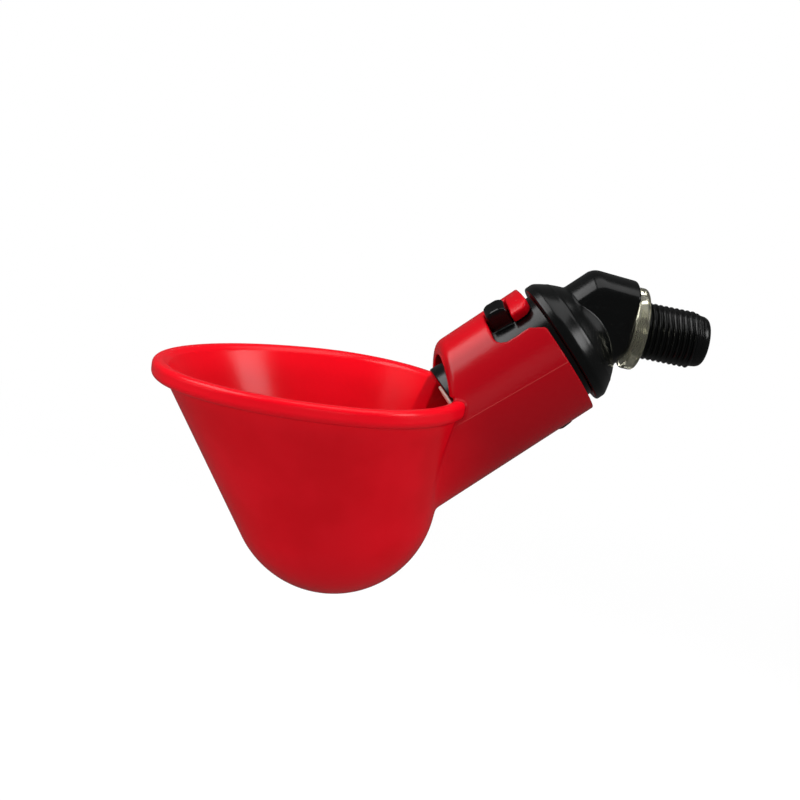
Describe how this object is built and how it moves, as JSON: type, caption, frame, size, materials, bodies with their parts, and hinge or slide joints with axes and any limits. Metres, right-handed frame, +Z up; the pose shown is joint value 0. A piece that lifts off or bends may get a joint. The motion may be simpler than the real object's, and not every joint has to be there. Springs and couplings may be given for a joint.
{
  "type": "poultry drinker",
  "caption": "Slanted egg-shaped drinking bowl with a neck sleeve, locked by a bayonet to an elbow valve with a threaded inlet, washer and pecking pin.",
  "frame": {"origin": "on the inlet thread's axis, at the washer's outer face", "axes": "+X out along the inlet thread, +Z up, Y = 0 is the plane through the bowl, neck and inlet"},
  "size_m": [0.0775, 0.0462, 0.0535],
  "materials": {
    "cup_red": "glossy moulded polypropylene",
    "body_black": "satin moulded plastic",
    "washer_clear": "translucent soft washer",
    "bush_pale": "natural moulded plastic",
    "seal_rubber": "black rubber",
    "stem_steel": "turned stainless steel",
    "spring_steel": "drawn stainless wire"
  },
  "bodies": {
    "drinker": {"cup": "cup_red", "valve_body": "body_black", "inlet_washer": "washer_clear", "outlet_bush": "bush_pale", "seat_ring": "seal_rubber", "return_spring": "spring_steel"},
    "stem": {"valve_stem": "stem_steel"}
  },
  "joints": [
    {"name": "stem_push", "type": "slide", "parent": "drinker", "child": "stem", "axis": [0.7071, 0, 0.7071], "range_m": [0, 0.0012], "stiffness_N_per_m": 150, "springref_m": -0.003, "deforming": ["return_spring"]}
  ]
}
